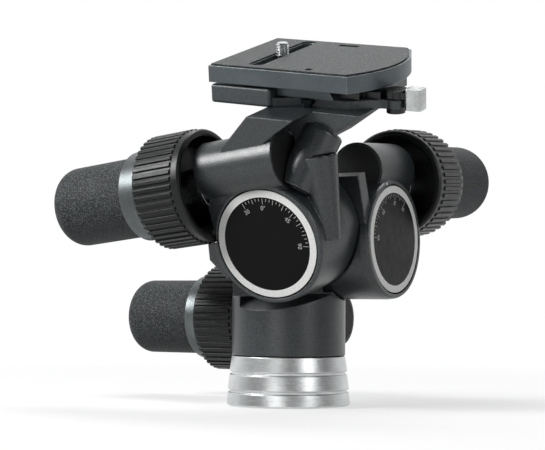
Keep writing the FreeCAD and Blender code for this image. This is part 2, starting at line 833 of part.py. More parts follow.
def make_clamp_jaw():
    low = receiver_floor + 0.05
    near = dovetail_half(low) - 2.0 + jaw_gap
    points = [(near, low), (34.0, low), (34.0, receiver_top)]
    points += [(dovetail_half(receiver_top) - 2.0 + jaw_gap, receiver_top)]
    jaw = placed(prism(points, -22.0, 20.0), V(0, 0, 0), V(0, -1, 0), V(1, 0, 0))
    toe = box(33.0, lever_b - cam_radius - cam_offset - jaw_gap, -lever_a - 5.0, -lever_a + 5.0, low, receiver_top - 1.2)
    return joined(jaw, toe)


def make_lever_post():
    pin = cylinder(lever_pin_radius, receiver_bottom - 1.0, receiver_floor + 0.2, lever_b, -lever_a)
    foot = cylinder(lever_radius, receiver_bottom - 2.2, receiver_bottom - 0.05, lever_b, -lever_a)
    cam = cylinder(cam_radius, receiver_floor + 0.1, receiver_top - 0.9, lever_b - cam_offset, -lever_a)
    body = cylinder(cam_radius, receiver_floor + 0.1, receiver_top - 0.9, lever_b + 0.8, -lever_a)
    cap = cylinder(5.4, receiver_top - 1.0, receiver_top - 0.1, lever_b, -lever_a)
    return joined(pin, foot, cam, body, cap)


def make_lever_arm():
    low = receiver_floor + 0.3
    high = receiver_top - 1.1
    arm = box(lever_b + 2.0, lever_b + 5.6, -lever_a - 2.5, -lever_a + 2.5, low, high)
    return arm.cut(cylinder(cam_radius + press_gap, low - 1, high + 1, lever_b + 0.8, -lever_a))


def make_lever_tip():
    body = box(lever_b + 5.6, lever_b + 13.6, -lever_a - 4.0, -lever_a + 4.0, receiver_bottom, receiver_top + 0.8)
    upright = [edge for edge in body.Edges if edge.BoundBox.ZLength > 3.0]
    return body.makeFillet(1.6, upright)


def main():
    os.makedirs("parts", exist_ok=True)
    write("base_ring", make_base_ring())
    write("thread_bush", make_thread_bush())
    write("pan_spindle", make_pan_spindle())
    write("spindle_screws", make_spindle_screws())
    write("pan_wheel", make_pan_wheel())
    write("pan_washer", make_pan_washer())
    write("pan_nut", make_pan_nut())
    write("column_bearing", make_column_bearing())
    write("bearing_plate", make_bearing_plate())
    write("column", make_column())
    write("tilt_bracket", make_tilt_bracket())
    write("front_shaft", on_front_axis(make_front_shaft()))
    write("front_wheel", on_front_axis(make_front_wheel()))
    write("front_dial", on_front_axis(moved_up(make_dial(), front_face_x)))
    write("front_dial_ring", on_front_axis(moved_up(make_dial_ring(), front_face_x)))
    write("tilt_housing", front_tilted(make_tilt_housing()))
    write("front_bearing", front_tilted(on_front_axis(make_front_bearing())))
    write("index_dot", front_tilted(make_index_dot()))
    write("side_shaft", front_tilted(on_side_axis(make_side_shaft())))
    write("side_nut", front_tilted(on_side_axis(make_side_nut())))
    write("side_wheel", front_tilted(on_side_axis(make_side_wheel())))
    write("side_dial", front_tilted(on_side_axis(moved_up(make_dial(), side_face_a))))
    write("side_dial_ring", front_tilted(on_side_axis(moved_up(make_dial_ring(), side_face_a))))
    write("head_casting", both_tilted(make_head_casting()))
    write("side_bearing", both_tilted(on_side_axis(make_side_bearing())))
    write("level_rim", both_tilted(on_side_axis(make_level_rim())))
    write("level_vial", both_tilted(on_side_axis(make_level_vial())))
    write("receiver", both_tilted(on_platform(make_receiver())))
    write("receiver_screws", both_tilted(on_platform(make_receiver_screws())))
    write("clamp_jaw", both_tilted(on_platform(make_clamp_jaw())))
    write("lever_post", both_tilted(on_platform(make_lever_post())))
    write("lever_arm", both_tilted(on_platform(make_lever_arm())))
    write("lever_tip", both_tilted(on_platform(make_lever_tip())))
    write("plate", both_tilted(on_platform(make_plate())))
    write("top_pad", both_tilted(on_platform(make_top_pad())))
    write("camera_screw", both_tilted(on_platform(make_camera_screw())))
    write_knob("pan", on_pan_worm, tube_front_pan, pan_tube_radius, pan_collar_start, 67.8, 108.2)
    write_knob("front", on_tilted_front_worm, tube_front_front, tube_radius, front_collar_start, 67.0, 112.0)
    write_knob("side", on_tilted_side_worm, tube_front_side, tube_radius, side_collar_start, 65.4, 110.5)


main()
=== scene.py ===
import math

import bmesh
import bpy
import numpy as np
from mathutils import Matrix, Vector


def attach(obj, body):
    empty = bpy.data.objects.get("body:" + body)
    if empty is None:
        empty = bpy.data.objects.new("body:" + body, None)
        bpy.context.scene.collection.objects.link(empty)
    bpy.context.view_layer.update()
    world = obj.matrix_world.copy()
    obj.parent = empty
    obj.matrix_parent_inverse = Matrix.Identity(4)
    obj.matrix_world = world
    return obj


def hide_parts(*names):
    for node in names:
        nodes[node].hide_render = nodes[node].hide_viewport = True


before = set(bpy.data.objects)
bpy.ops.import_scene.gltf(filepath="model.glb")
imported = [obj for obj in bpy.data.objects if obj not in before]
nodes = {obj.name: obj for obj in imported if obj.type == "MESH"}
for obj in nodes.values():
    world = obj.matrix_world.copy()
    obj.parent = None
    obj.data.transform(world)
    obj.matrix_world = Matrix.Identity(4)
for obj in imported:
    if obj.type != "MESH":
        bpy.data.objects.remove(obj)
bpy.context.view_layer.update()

# The pose in the photograph: both tilt axes in metres, and the degrees turned about them
FRONT_AXIS = np.array([0.0, 0.0097, 0.0802])
SIDE_AXIS = np.array([0.0174, 0.0, 0.0961])
FRONT_LEAN = 19.2
SIDE_LEAN = -8.5

# Places on the level head, measured right, back and up from the side tilt axis
PLATE_TOP = 0.0778
SCREW_RIGHT = -0.0155
LEVEL_MIDDLE = np.array([0.0192, -0.0333, 0.0395])

# Dials: the middle of each face, and how far the left one is turned clockwise
SIDE_DIAL_MIDDLE = SIDE_AXIS + (0, -0.0484, 0)
FRONT_DIAL_MIDDLE = FRONT_AXIS + (0.0527, 0, 0)
SIDE_DIAL_TURN = 4.0

# Their print: its height below and above the face, its ticks and its numbers
PRINT_LOW, PRINT_HIGH = -0.00008, 0.00006
TICK_FIRST, TICK_LAST, TICK_STEP = -30, 90, 5
TICK_OUTER, TICK_WIDTH = 0.0216, 0.00026
LONG_TICK_INNER, MIDDLE_TICK_INNER, SHORT_TICK_INNER = 0.0189, 0.0195, 0.0203
NUMBERS = (("30", -30), ("0°", 0), ("45", 45), ("90", 90))
NUMBER_HEIGHT, NUMBER_RADIUS = 0.0021, 0.0172
TEXT_SIZE_PER_HEIGHT = 1.42


def turned_points(points, through, axis, degrees):
    """Points turned about a line. Measured from a point on the line, a turned point is the sum of
    three parts: the point times the cosine, the cross product of axis and point times the sine,
    and the axis times its dot product with the point times one minus the cosine."""
    k = np.array(axis, float)
    p = np.asarray(points, float) - through
    c, s = math.cos(math.radians(degrees)), math.sin(math.radians(degrees))
    return through + p * c + np.cross(k, p) * s + np.outer(p @ k, k) * (1 - c)


def on_front_stage(points):
    """Level points of the front stage, leaned forward with it."""
    return turned_points(points, FRONT_AXIS, (1, 0, 0), FRONT_LEAN)


def on_head(points):
    """Level points of the head, leaned sideways and then forward with it."""
    return on_front_stage(turned_points(points, SIDE_AXIS, (0, -1, 0), SIDE_LEAN))


def platform_points(points):
    """Points measured right, back and up from the side tilt axis, put on the leaning head."""
    return on_head(np.asarray(points, float) + SIDE_AXIS)


# Materials

def colour(code):
    """A hex colour as linear red, green, blue and 1."""
    parts = [int(code[i:i + 2], 16) / 255 for i in (1, 3, 5)]
    linear = [p / 12.92 if p <= 0.04045 else ((p + 0.055) / 1.055) ** 2.4 for p in parts]
    return tuple(linear) + (1.0,)


def feed(socket, value):
    """A socket is linked to another node's output, or holds a hex colour or a plain value."""
    if isinstance(value, bpy.types.NodeSocket):
        socket.id_data.links.new(value, socket)
    elif isinstance(value, str):
        socket.default_value = colour(value)
    else:
        socket.default_value = value


def fed(node, sockets):
    """A node whose sockets, by name or number, are fed."""
    for name, value in sockets.items():
        feed(node.inputs[name], value)
    return node


class Finish:
    """One material: a Principled shader and the small nodes that feed it."""

    def __init__(self, name, roughness, metallic=0.0, specular=0.5):
        self.material = bpy.data.materials.new(name)
        self.material.use_nodes = True
        self.tree = self.material.node_tree
        self.shader = self.tree.nodes["Principled BSDF"]
        self.set(Roughness=roughness, Metallic=metallic)
        feed(self.shader.inputs["Specular IOR Level"], specular)
        self.place = self.new("TexCoord").outputs["Object"]
        self.last_normal = None

    def set(self, **sockets):
        """Sockets of the shader itself that have one value all over."""
        fed(self.shader, sockets)

    def new(self, kind, sockets=None, operation=None):
        node = self.tree.nodes.new("ShaderNode" + kind)
        if operation is not None:
            node.operation = operation
        return fed(node, sockets or {})

    def noise(self, scale, detail=3.0, rough=0.55, stretch=(1, 1, 1), turn=(0, 0, 0)):
        mapping = {"Scale": stretch, "Rotation": turn, "Vector": self.place}
        place = self.new("Mapping", mapping).outputs["Vector"]
        texture = {"Scale": scale, "Detail": detail, "Roughness": rough, "Vector": place}
        return self.new("TexNoise", texture).outputs["Fac"]

    def cells(self, scale):
        """The distance to the nearest of scattered points."""
        return self.new("TexVoronoi", {"Scale": scale, "Vector": self.place}).outputs["Distance"]

    def tool_lines(self, along, scale):
        """Fine lines across one coordinate, as a turning tool leaves them."""
        node = self.new("TexNoise")
        node.noise_dimensions = "1D"
        fed(node, {"Scale": scale, "Detail": 4.0, "Roughness": 0.7, "W": along})
        return node.outputs["Fac"]

    def maths(self, kind, first, second=0.0):
        return self.new("Math", {0: first, 1: second}, operation=kind).outputs[0]

    def plus(self, first, second):
        return self.maths("ADD", first, second)

    def times(self, first, second):
        return self.maths("MULTIPLY", first, second)

    def span(self, value, low, high, start=0.0, end=1.0):
        """low where the value is start, high where it is end, even between and held outside."""
        ends = {"From Min": start, "From Max": end, "To Min": low, "To Max": high}
        return self.new("MapRange", {**ends, "Value": value}).outputs["Result"]

    def ramp(self, value, stops):
        node = self.new("ValToRGB", {"Fac": value})
        ramp = node.color_ramp
        while len(ramp.elements) < len(stops):
            ramp.elements.new(0.5)
        for element, (place, code) in zip(ramp.elements, stops):
            element.position = place
            element.color = colour(code)
        return node.outputs["Color"]

    def mixed(self, factor, first, second):
        """The first colour where the factor is 0 and the second where it is 1."""
        node = self.new("Mix")
        node.data_type = "RGBA"
        for name, value in (("Factor", factor), ("A", first), ("B", second)):
            feed(next(s for s in node.inputs if s.name == name and s.enabled), value)
        return next(s for s in node.outputs if s.enabled)

    def rounded_edges(self, radius):
        bevel = self.new("Bevel", {"Radius": radius})
        bevel.samples = 6
        self.last_normal = bevel.outputs["Normal"]

    def edge_share(self, radius):
        """About 1 on an outer or inner edge and 0 on open surface, from how far the rounded
        normal leaves the true one."""
        self.rounded_edges(radius)
        both = {0: self.last_normal, 1: self.new("NewGeometry").outputs["Normal"]}
        alike = self.new("VectorMath", both, operation="DOT_PRODUCT").outputs["Value"]
        return self.span(alike, 1.0, 0.0, start=0.86, end=0.995)

    def bump(self, height, depth, strength):
        node = self.new("Bump", {"Strength": strength, "Distance": depth, "Height": height})
        if self.last_normal is not None:
            fed(node, {"Normal": self.last_normal})
        self.last_normal = node.outputs["Normal"]

    def done(self, tint, roughness):
        """The material, with the last normal, this colour and this roughness on its shader."""
        fed(self.shader, {"Base Color": tint, "Roughness": roughness, "Normal": self.last_normal})
        return self.material


def enamelled_casting(name, dark, light, rough, grain=0.00007):
    """Stove enamel on a sand-grained casting: fine grain, faint mottling, and a painted highlight
    in patches along the edges.
    """
    f = Finish(name, 0.5, specular=0.6)
    edge = f.edge_share(0.0009)
    cloud = f.noise(60, detail=3)
    fine = f.noise(2300, detail=2, rough=0.6)
    body = f.ramp(cloud, [(0.3, dark), (0.7, light)])
    dots = f.span(fine, 0.0, 1.0, start=0.4, end=0.66)
    body = f.mixed(0.4, body, f.ramp(dots, [(0.0, "#0a0d0e"), (1.0, "#5d6569")]))
    # Painted highlight: patches along the edges are painted pale grey, standing in for light
    # caught on the rounded edges.
    painted_edge_highlight = f.times(edge, f.span(f.noise(700, detail=3), 0.0, 1.0, start=0.45, end=0.68))
    body = f.mixed(f.times(painted_edge_highlight, 0.7), body, "#7f8688")
    f.bump(fine, depth=grain, strength=0.9)
    f.bump(f.noise(500, detail=3), depth=grain * 0.8, strength=0.5)
    return f.done(body, f.span(f.noise(180, detail=4), rough - 0.07, rough + 0.08))


def turned_aluminium(name):
    """Aluminium turned about the pan axis: fine tool lines along height and radius, with soft
    stains and a painted highlight on the edges. The radius is the root of the sum of both level
    coordinates' squares."""
    f = Finish(name, 0.3, 1.0)
    x, y, z = f.new("SeparateXYZ", {"Vector": f.place}).outputs
    radius = f.maths("SQRT", f.plus(f.times(x, x), f.times(y, y)))
    tool = f.tool_lines(f.plus(z, f.times(radius, 0.83)), 5200)
    broken = f.plus(f.times(tool, 0.8), f.times(f.noise(1500, detail=2), 0.2))
    tint = f.ramp(f.noise(90, detail=4), [(0.3, "#c3c6c7"), (0.72, "#dfe1e1")])
    tint = f.mixed(f.span(tool, 0.0, 0.5, start=0.5, end=0.75), tint, "#9da1a3")
    # Painted highlight: the edges are painted near white.
    tint = f.mixed(f.times(f.edge_share(0.0004), 0.6), tint, "#f4f5f5")
    f.bump(broken, depth=0.00003, strength=0.7)
    tangent = f.new("Tangent")
    tangent.direction_type = "RADIAL"
    tangent.axis = "Z"
    f.set(Anisotropic=0.55, Tangent=tangent.outputs["Tangent"])
    return f.done(tint, f.span(broken, 0.22, 0.42, start=0.3, end=0.7))


def machined_metal(name, dark, light, low, high):
    """Plain machined metal: fine scratches in two directions, with cloudy tarnish."""
    f = Finish(name, 0.3, 1.0)
    scratch = f.noise(1800, detail=3, rough=0.6, stretch=(1, 0.06, 0.3), turn=(0.4, 0.2, 0.9))
    other = f.noise(1800, detail=3, rough=0.6, stretch=(0.08, 1, 0.5), turn=(0.1, 0.7, 0.3))
    both = f.plus(f.times(scratch, 0.5), f.times(other, 0.5))
    tint = f.ramp(f.noise(140, detail=4), [(0.3, dark), (0.7, light)])
    f.rounded_edges(0.0003)
    f.bump(both, depth=0.00002, strength=0.6)
    return f.done(tint, f.span(both, low, high, start=0.35, end=0.65))


def pebbled_rubber(name):
    """Moulded rubber with a fine raised pebble, paler on the pebbles' tops, with faint dust."""
    f = Finish(name, 0.75, 0.0, 0.35)
    pebble = f.maths("SUBTRACT", 1.0, f.times(f.cells(1500), 1.3))
    fine = f.noise(2400, detail=2, rough=0.7)
    height = f.plus(f.times(pebble, 0.4), f.times(fine, 0.6))
    body = f.ramp(height, [(0.3, "#050606"), (0.47, "#171a1c"), (0.64, "#6b7274")])
    dust = f.span(f.noise(120, detail=4), 0.0, 0.22, start=0.5, end=0.75)
    body = f.mixed(dust, body, "#4a4e50")
    f.bump(height, depth=0.00022, strength=0.9)
    return f.done(body, f.span(height, 0.62, 0.88, start=0.3, end=0.9))


def moulded_plastic(name, dark, light, low=0.3, high=0.45, edge_glint_code="#54595b", gloss=0.45):
    """Satin moulded plastic: faint orange peel, and a painted highlight in patches along the
    edges.
    """
    f = Finish(name, 0.4, 0.0, gloss)
    edge = f.edge_share(0.0005)
    body = f.ramp(f.noise(110, detail=4), [(0.3, dark), (0.7, light)])
    # Painted highlight: patches along the edges are painted in the paler edge glint colour.
    painted_edge_glint = f.times(edge, f.span(f.noise(500, detail=3), 0.1, 0.55))
    body = f.mixed(painted_edge_glint, body, edge_glint_code)
    f.bump(f.noise(2600, detail=2), depth=0.00003, strength=0.8)
    return f.done(body, f.span(f.noise(300, detail=4), low, high, start=0.3, end=0.7))


def grey_anodised(name, dark, light, low=0.34, high=0.5, metal=0.65):
    """Bead-blasted and anodised aluminium: an even fine sparkle, and a painted highlight on the
    edges.
    """
    f = Finish(name, 0.42, metal)
    edge = f.edge_share(0.0005)
    grain = f.noise(3000, detail=2, rough=0.7)
    body = f.ramp(f.noise(70, detail=3), [(0.3, dark), (0.7, light)])
    body = f.mixed(f.span(grain, 0.0, 0.4, start=0.55, end=0.8), body, "#8d9496")
    # Painted highlight: the edges are painted pale grey.
    body = f.mixed(f.times(edge, 0.6), body, "#a9afb0")
    f.bump(grain, depth=0.00004, strength=0.8)
    return f.done(body, f.span(grain, low, high, start=0.3, end=0.7))


def printed_disc(name):
    """Smooth black lacquer of a dial, with faint swirls and specks of dust."""
    f = Finish(name, 0.4, 0.0, 0.12)
    body = f.ramp(f.noise(2600, detail=2), [(0.55, "#020202"), (0.8, "#0a0b0b")])
    f.bump(f.noise(900, detail=2), depth=0.000008, strength=0.5)
    return f.done(body, f.span(f.noise(240, detail=4), 0.34, 0.46, start=0.3, end=0.7))


def screen_ink(name, dark, light):
    """White or greyed screen ink: a matt film with tiny pits."""
    f = Finish(name, 0.45)
    body = f.ramp(f.noise(1500, detail=3), [(0.25, dark), (0.6, light)])
    f.bump(f.noise(3200, detail=2), depth=0.00002, strength=0.6)
    return f.done(body, f.span(f.noise(800, detail=3), 0.4, 0.55))


def wrinkled_pad(name):
    """Grained rubber facing of the plate: two sets of short wrinkles that cross."""
    f = Finish(name, 0.7, 0.0, 0.4)
    wrinkle = f.noise(2600, detail=3, rough=0.7, stretch=(1, 0.4, 1), turn=(0, 0, 0.6))
    other = f.noise(2600, detail=3, rough=0.7, stretch=(0.4, 1, 1), turn=(0, 0, 0.2))
    height = f.times(wrinkle, other)
    body = f.ramp(height, [(0.17, "#07090a"), (0.27, "#1b1f21"), (0.38, "#7d8486")])
    f.bump(height, depth=0.0003, strength=0.9)
    return f.done(body, f.span(height, 0.5, 0.8, start=0.1, end=0.4))


def level_fluid(name):
    """The tinted fluid of the spirit level under its clear cap."""
    f = Finish(name, 0.12)
    body = f.ramp(f.noise(250, detail=3), [(0.3, "#b4b43c"), (0.7, "#cfce68")])
    fed(f.shader, {"Coat Weight": 0.6, "Coat Roughness": 0.05})
    f.bump(f.noise(700, detail=2), depth=0.00001, strength=0.3)
    return f.done(body, f.span(f.noise(300, detail=2), 0.1, 0.2))


def level_bubble(name):
    """The bubble: pale, glossy and slightly green."""
    f = Finish(name, 0.08)
    body = f.ramp(f.noise(900, detail=2), [(0.3, "#e6e8b4"), (0.7, "#f6f7dc")])
    f.bump(f.noise(600, detail=2), depth=0.000008, strength=0.3)
    return f.done(body, f.span(f.noise(500, detail=2), 0.05, 0.12))


casting = enamelled_casting("casting_enamel", "#171b1d", "#232829", 0.32)
platform = enamelled_casting("platform_enamel", "#22282a", "#2e3538", 0.36, 0.00006)
base_metal = turned_aluminium("base_turned")
brass = machined_metal("bronze_bearing", "#9a7433", "#c9a257", 0.25, 0.45)
steel = machined_metal("ground_steel", "#8d9092", "#c2c5c6", 0.2, 0.38)
bright = machined_metal("bright_lever", "#8f9392", "#c9ccca", 0.2, 0.36)
blackened = machined_metal("blackened_screws", "#15181a", "#24282a", 0.35, 0.5)
rubber = pebbled_rubber("grip_rubber")
collar_black = moulded_plastic("collar_satin", "#050607", "#0b0d0e", 0.3, 0.42, "#6b7173", 0.3)
cap_black = moulded_plastic("cap_satin", "#0a0b0c", "#131516", 0.2, 0.34)
cap_matt = moulded_plastic("cap_matt", "#040505", "#090a0b", 0.55, 0.7, "#1c1f20")
core_grey = moulded_plastic("core_moulding", "#16181a", "#202325")
shoulder_grey = grey_anodised("shoulder_anodised", "#4b4f50", "#666b6c", 0.3, 0.42, 0.8)
plate_grey = grey_anodised("plate_blasted", "#4a5154", "#596063")
dial_face = printed_disc("dial_lacquer")
dial_ink = screen_ink("dial_ink", "#e9eae7", "#fcfcfa")
scale_ink = screen_ink("scale_ink", "#8f9190", "#c4c5c3")
pad_rubber = wrinkled_pad("pad_grain")
fluid = level_fluid("level_tint")
bubble_clear = level_bubble("level_bubble")

# Which nodes of the CAD wear each material
FINISHES = [
    (casting, ["column", "tilt_bracket", "tilt_housing", "head_casting", "bearing_plate"]),
    (platform, ["receiver"]),
    (base_metal, ["base_ring"]),
    (brass, ["thread_bush", "column_bearing", "pan_wheel", "front_wheel", "side_wheel",
             "front_bearing", "side_bearing"]),
    (steel, ["pan_spindle", "spindle_screws", "pan_washer", "pan_nut", "front_shaft",
             "side_shaft", "side_nut", "pan_worm", "front_worm", "side_worm", "pan_sleeve",
             "front_sleeve", "side_sleeve", "camera_screw"]),
    (bright, ["lever_tip"]),
    (blackened, ["receiver_screws"]),
    (cap_matt, ["pan_worm_cap", "front_worm_cap", "side_worm_cap"]),
    (cap_black, ["lever_post", "clamp_jaw", "level_rim", "lever_arm"]),
    (collar_black, ["pan_collar", "front_collar", "side_collar"]),
    (core_grey, ["pan_knob_core", "front_knob_core", "side_knob_core"]),
    (shoulder_grey, ["pan_shoulder", "front_shoulder", "side_shoulder"]),
    (rubber, ["pan_grip", "front_grip", "side_grip"]),
    (plate_grey, ["plate"]),
    (pad_rubber, ["top_pad"]),
    (dial_face, ["front_dial", "side_dial"]),
    (dial_ink, ["front_dial_ring", "side_dial_ring", "index_dot"]),
    (fluid, ["level_vial"]),
]


def paint(piece, material):
    piece.data.materials.clear()
    piece.data.materials.append(material)


for material, names in FINISHES:
    for name in names:
        paint(nodes[name], material)
left_plain = sorted(set(nodes) - {name for _, names in FINISHES for name in names})
if left_plain:
    raise RuntimeError(f"these nodes have no finish yet: {left_plain}")


# New pieces

def piece_from(name, points, faces, material, body, smooth=False):
    """A closed mesh at the origin from whole arrays of points and faces, with its faces turned
    outwards, riding on a body."""
    mesh = bpy.data.meshes.new(name)
    mesh.from_pydata(np.asarray(points).tolist(), [], faces)
    mesh.validate()
    mesh.polygons.foreach_set("use_smooth", [smooth] * len(mesh.polygons))
    mesh.update()
    piece = bpy.data.objects.new(name, mesh)
    bpy.context.scene.collection.objects.link(piece)
    paint(piece, material)
    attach(piece, body)
    work = bmesh.new()
    work.from_mesh(mesh)
    bmesh.ops.recalc_face_normals(work, faces=work.faces)
    work.to_mesh(mesh)
    work.free()
    return piece


def round_rows(radius, angle, height):
    """Points in rows round an upright axis: right and back are the radius times the angle's
    cosine and sine."""
    x, y = radius * np.cos(angle), radius * np.sin(angle)
    return np.stack([x, y, np.broadcast_to(height, x.shape)], -1).reshape(-1, 3)


def turn_steps(columns):
    """Angles of even steps round a full turn, as one row."""
    return np.linspace(0, 2 * np.pi, columns, endpoint=False)[None, :]


def row_faces(rows, columns, looped=False):
    """Quads between each row of points and the next, closed round. Where looped, the last row
    joins the first as well."""
    i, j = np.meshgrid(np.arange(rows if looped else rows - 1), np.arange(columns), indexing="ij")
    this, following = i * columns, (i + 1) % rows * columns
    after = (j + 1) % columns
    quads = np.stack([this + j, this + after, following + after, following + j], -1)
    return quads.reshape(-1, 4).tolist()


def tube_faces(rows, columns):
    """Quads between the rows, and a fan from the first row to the point that follows the last
    row, and from the last row to the point after it."""
    around = np.arange(columns)
    after = (around + 1) % columns
    last = (rows - 1) * columns
    first_pole = np.full(columns, rows * columns)
    faces = row_faces(rows, columns)
    faces += np.stack([first_pole, after, around], -1).tolist()
    faces += np.stack([first_pole + 1, last + around, last + after], -1).tolist()
    return faces


def gathered(parts):
    """Several (points, faces) as one."""
    points, faces, start = [], [], 0
    for some, made in parts:
        points.append(some)
        faces += [[v + start for v in face] for face in made]
        start += len(some)
    return np.concatenate(points), faces


def turned_face(points, degrees):
    """Flat points turned clockwise."""
    a = math.radians(degrees)
    x, y, z = points.T
    right = x * math.cos(a) + y * math.sin(a)
    up = -x * math.sin(a) + y * math.cos(a)
    return np.stack([right, up, z], -1)


def on_face(points, middle, right, up):
    """Flat dial points put on a face: its middle plus right, up and outward times their
    coordinates."""
    right, up = np.array(right, float), np.array(up, float)
    out = np.cross(right, up)
    return middle + points[:, :1] * right + points[:, 1:2] * up + points[:, 2:3] * out


def tick_marks(angles, inner):
    """Closed bars along the radius at each angle, clockwise from the zero mark. Their corners
    lie half a width either side of the ray, at the inner radius and the ticks' outer one."""
    a = np.radians(np.asarray(angles, float))[:, None]
    ray = np.stack([np.sin(a), np.cos(a)], -1)
    side = np.stack([np.cos(a), -np.sin(a)], -1)
    outer = np.full(len(inner), TICK_OUTER)
    r = np.stack([inner, inner, outer, outer], -1)[..., None]
    w = np.array([-0.5, 0.5, 0.5, -0.5])[None, :, None] * TICK_WIDTH
    flat = ray * r + side * w
    ends = [np.concatenate([flat, np.full(flat.shape[:2] + (1,), height)], -1)
            for height in (PRINT_LOW, PRINT_HIGH)]
    points = np.concatenate(ends, 1).reshape(-1, 3)
    bar = np.array([[0, 1, 2, 3], [4, 7, 6, 5], [0, 4, 5, 1],
                    [1, 5, 6, 2], [2, 6, 7, 3], [3, 7, 4, 0]])
    faces = (bar[None] + 8 * np.arange(len(a))[:, None, None]).reshape(-1, 4)
    return points, faces.tolist()


def number_mesh(text, angle):
    """A number as a closed mesh, its middle at the numbers' radius and a clockwise angle, with
    its top outwards."""
    curve = bpy.data.curves.new("number", "FONT")
    curve.body = text
    curve.size = NUMBER_HEIGHT * TEXT_SIZE_PER_HEIGHT
    curve.align_x = "CENTER"
    curve.align_y = "CENTER"
    curve.extrude = (PRINT_HIGH - PRINT_LOW) / 2
    curve.resolution_u = 3
    shown = bpy.data.objects.new("number", curve)
    bpy.context.scene.collection.objects.link(shown)
    bpy.context.view_layer.update()
    mesh = bpy.data.meshes.new_from_object(shown)
    points = np.zeros(len(mesh.vertices) * 3)
    mesh.vertices.foreach_get("co", points)
    points = points.reshape(-1, 3)
    faces = [list(p.vertices) for p in mesh.polygons]
    bpy.data.objects.remove(shown)
    bpy.data.meshes.remove(mesh)
    middle = (points[:, :2].min(0) + points[:, :2].max(0)) / 2
    x, y = points[:, 0] - middle[0], points[:, 1] - middle[1] + NUMBER_RADIUS
    level = np.stack([x, y, points[:, 2] + (PRINT_LOW + PRINT_HIGH) / 2], -1)
    return turned_face(level, angle), faces


def dial_print(sign):
    """Ticks each five degrees, longer at fifteen and longest at each thirty and at 45, with the
    numbers. sign is 1 where the long side of the scale runs clockwise, and otherwise -1."""
    marks = np.arange(TICK_FIRST, TICK_LAST + 1, TICK_STEP)
    longest = (marks % 30 == 0) | (marks == 45)
    shorter = np.where(marks % 15 == 0, MIDDLE_TICK_INNER, SHORT_TICK_INNER)
    parts = [tick_marks(sign * marks, np.where(longest, LONG_TICK_INNER, shorter))]
    parts += [number_mesh(text, sign * angle) for text, angle in NUMBERS]
    return gathered(parts)


def make_dial_prints():
    points, faces = dial_print(1)
    points = turned_face(points, SIDE_DIAL_TURN)
    level = on_face(points, SIDE_DIAL_MIDDLE, (1, 0, 0), (0, 0, 1))
    piece_from("side_dial_print", on_front_stage(level), faces, scale_ink, "front_body")
    points, faces = dial_print(-1)
    level = on_face(points, FRONT_DIAL_MIDDLE, (0, 1, 0), (0, 0, 1))
    piece_from("front_dial_print", level, faces, scale_ink, "pan_body")


def thread_surface():
    """The camera screw's thread. The turns at a point are its height over the pitch less its
    angle over a full turn. The ridge is a flat-topped triangle wave of the turns, and the
    radius is the crest less the depth times one minus the ridge. The last rows draw in to a
    chamfered tip, and a point closes each end."""
    pitch, crest, depth, chamfer = 0.00127, 0.0031, 0.00055, 0.0008
    bottom, top = PLATE_TOP - 0.0012, PLATE_TOP + 0.0052
    flank_slope, flank_offset = 1.35, 0.17
    rows, columns = 72, 48
    height = np.linspace(bottom, top, rows)[:, None]
    angle = turn_steps(columns)
    turns = height / pitch - angle / (2 * np.pi)
    wave = np.abs((turns % 1.0) * 2 - 1)
    ridge = np.clip(wave * flank_slope - flank_offset, 0, 1)
    radius = crest - depth * (1 - ridge)
    limit = np.interp(height, [top - chamfer, top], [crest, crest - chamfer])
    points = round_rows(np.minimum(radius, limit), angle, height)
    points = np.concatenate([points, [[0, 0, bottom], [0, 0, top]]]) + (SCREW_RIGHT, 0, 0)
    return points, tube_faces(rows, columns)


def make_camera_screw():
    """The CAD screw's head, cut off under the plate's top and capped, with the threaded shank
    on it."""
    merge_distance, cut_depth = 1e-6, 0.001
    work = bmesh.new()
    work.from_mesh(nodes["camera_screw"].data)
    bmesh.ops.remove_doubles(work, verts=work.verts, dist=merge_distance)
    up = Vector(platform_points([[0, 0, 1]])[0] - platform_points([[0, 0, 0]])[0])
    cut = Vector(platform_points([[SCREW_RIGHT, 0, PLATE_TOP - cut_depth]])[0])
    geometry = work.verts[:] + work.edges[:] + work.faces[:]
    found = bmesh.ops.bisect_plane(work, geom=geometry, plane_co=cut, plane_no=up,
                                   clear_outer=True)
    rim = [g for g in found["geom_cut"] if isinstance(g, bmesh.types.BMEdge)]
    bmesh.ops.edgeloop_fill(work, edges=rim)
    work.verts.index_update()
    head_points = np.array([v.co[:] for v in work.verts])
    head_faces = [[v.index for v in f.verts] for f in work.faces]
    work.free()
    thread_points, thread_faces = thread_surface()
    points, faces = gathered([(head_points, head_faces),
                              (platform_points(thread_points), thread_faces)])
    piece = piece_from("threaded_camera_screw", points, faces, steel, "mounting_screw")
    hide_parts("camera_screw")


def level_place(points):
    """Points measured from the middle of the spirit level, put on the leaning head."""
    return platform_points(points + LEVEL_MIDDLE)


def make_bubble():
    """A flattened dome closed by a flat disc below. From rim to pole the radius is the bubble's
    times a sine and the height is the dome's times a cosine."""
    bubble_radius, dome_height = 0.0013, 0.00035
    bottom, rim, pole = -0.00045, -0.0004, -0.00005
    rows, columns = 10, 32
    t = np.linspace(np.pi / 2, 0.02, rows)[:, None]
    points = round_rows(bubble_radius * np.sin(t), turn_steps(columns),
                        rim + dome_height * np.cos(t))
    points = np.concatenate([points, [[0, 0, bottom], [0, 0, pole]]])
    piece_from("level_bubble", level_place(points), tube_faces(rows, columns), bubble_clear,
               "head_body", True)


def make_level_circle():
    """The black collar printed round the bubble: a flat ring, higher at its outer edge."""
    inner, outer, columns = 0.0031, 0.0057, 48
    bottom, inner_top, outer_top = -0.00045, -0.00033, -0.00025
    radius = np.array([inner, outer, outer, inner])[:, None]
    height = np.array([bottom, bottom, outer_top, inner_top])[:, None]
    points = round_rows(radius, turn_steps(columns), height)
    piece_from("level_circle", level_place(points), row_faces(4, columns, looped=True),
               cap_black, "head_body")


make_dial_prints()
make_camera_screw()
make_bubble()
make_level_circle()


# Studio

OBJECT_MIDDLE = (0, 0, 0.09)
